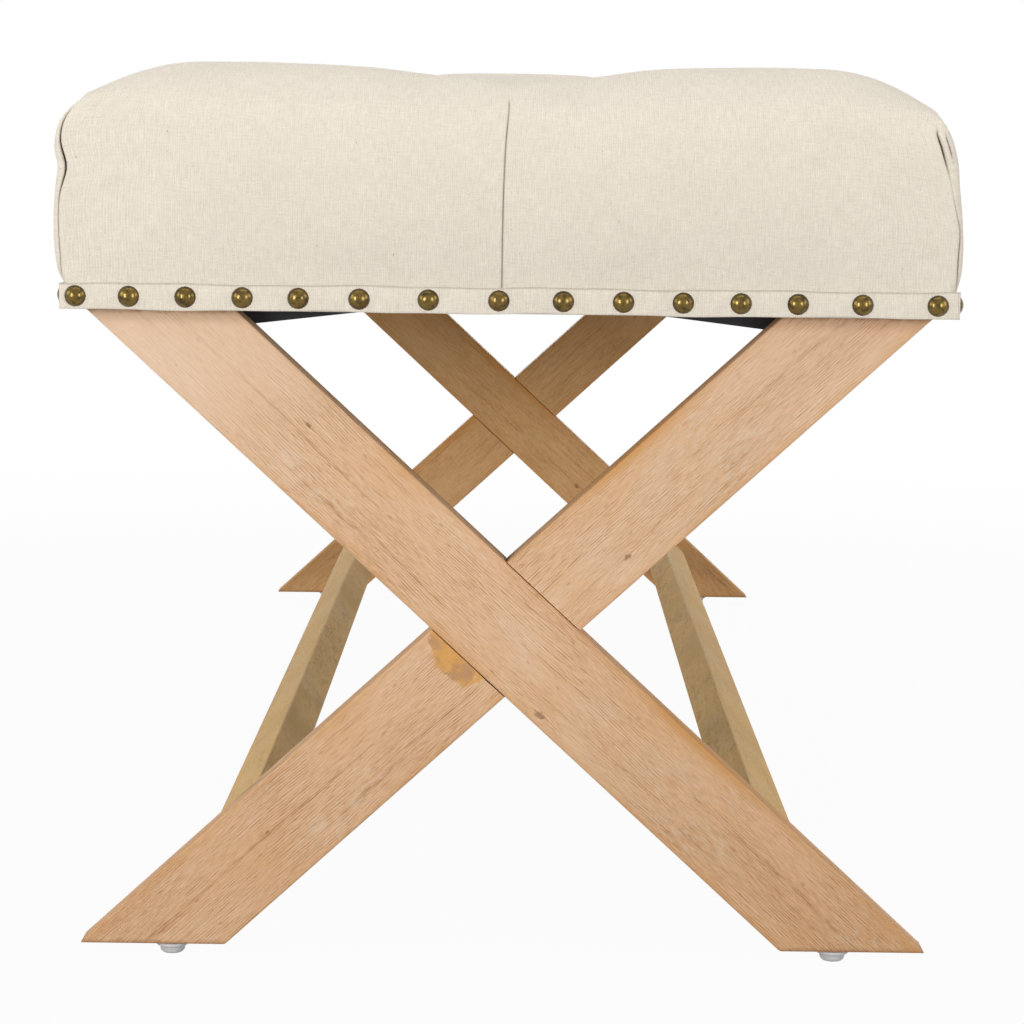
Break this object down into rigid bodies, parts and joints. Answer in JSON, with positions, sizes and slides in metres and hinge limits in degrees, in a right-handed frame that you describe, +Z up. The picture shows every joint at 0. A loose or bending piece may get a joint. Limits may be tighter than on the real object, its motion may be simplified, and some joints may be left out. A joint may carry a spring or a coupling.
{
  "type": "upholstered bench",
  "caption": "Long bench with a deep tufted linen box seat, nailed trim band, and crossed wooden legs tied by low stretchers.",
  "frame": {"origin": "on the floor, under the middle of the seat", "axes": "+Z up, +Y along the bench towards its back end, +X across it to the right as seen from its front end"},
  "size_m": [0.4674, 1.1764, 0.4729],
  "materials": {
    "linen": "plain-woven oatmeal linen, matte",
    "foam": "open-cell foam, matte",
    "plywood": "raw plywood",
    "frame_wood": "raw softwood",
    "black_paint": "matte black paint",
    "black_cloth": "matte non-woven cloth",
    "leg_wood": "brushed, pinkish tan, low sheen",
    "stretcher_wood": "brushed, yellowish tan, low sheen",
    "dowel_wood": "raw hardwood",
    "steel": "plain steel",
    "glide_plastic": "grey-white, satin",
    "antique_brass": "darkened brass of the trim nails"
  },
  "bodies": {
    "root": {"seat_cover": "linen", "foam_pad": "foam", "seat_deck": "plywood", "long_rail_left": "frame_wood", "long_rail_right": "frame_wood", "end_rail_front": "frame_wood", "end_rail_back": "frame_wood", "brace_front": "frame_wood", "brace_back": "frame_wood", "mount_rail_front": "black_paint", "mount_rail_back": "black_paint", "dust_cover": "black_cloth", "trim_front": "linen", "trim_back": "linen", "trim_left": "linen", "trim_right": "linen", "tuft_button_01": "linen", "tuft_button_02": "linen", "tuft_button_03": "linen", "tuft_button_04": "linen", "tuft_button_05": "linen", "tuft_button_06": "linen", "tuft_button_07": "linen", "tuft_button_08": "linen", "tuft_button_09": "linen", "tuft_button_10": "linen", "tuft_button_11": "linen", "tuft_button_12": "linen", "tuft_button_13": "linen", "leg_front_a": "leg_wood", "leg_front_b": "leg_wood", "leg_back_a": "leg_wood", "leg_back_b": "leg_wood", "leg_bolt_front_1": "steel", "leg_bolt_front_2": "steel", "leg_bolt_front_3": "steel", "leg_bolt_front_4": "steel", "leg_bolt_back_1": "steel", "leg_bolt_back_2": "steel", "leg_bolt_back_3": "steel", "leg_bolt_back_4": "steel", "glide_front_a": "glide_plastic", "glide_front_b": "glide_plastic", "glide_back_a": "glide_plastic", "glide_back_b": "glide_plastic", "stretcher_left": "stretcher_wood", "stretcher_right": "stretcher_wood", "dowel_front_left_1": "dowel_wood", "dowel_front_left_2": "dowel_wood", "dowel_front_right_1": "dowel_wood", "dowel_front_right_2": "dowel_wood", "dowel_back_left_1": "dowel_wood", "dowel_back_left_2": "dowel_wood", "dowel_back_right_1": "dowel_wood", "dowel_back_right_2": "dowel_wood"}
  },
  "joints": []
}
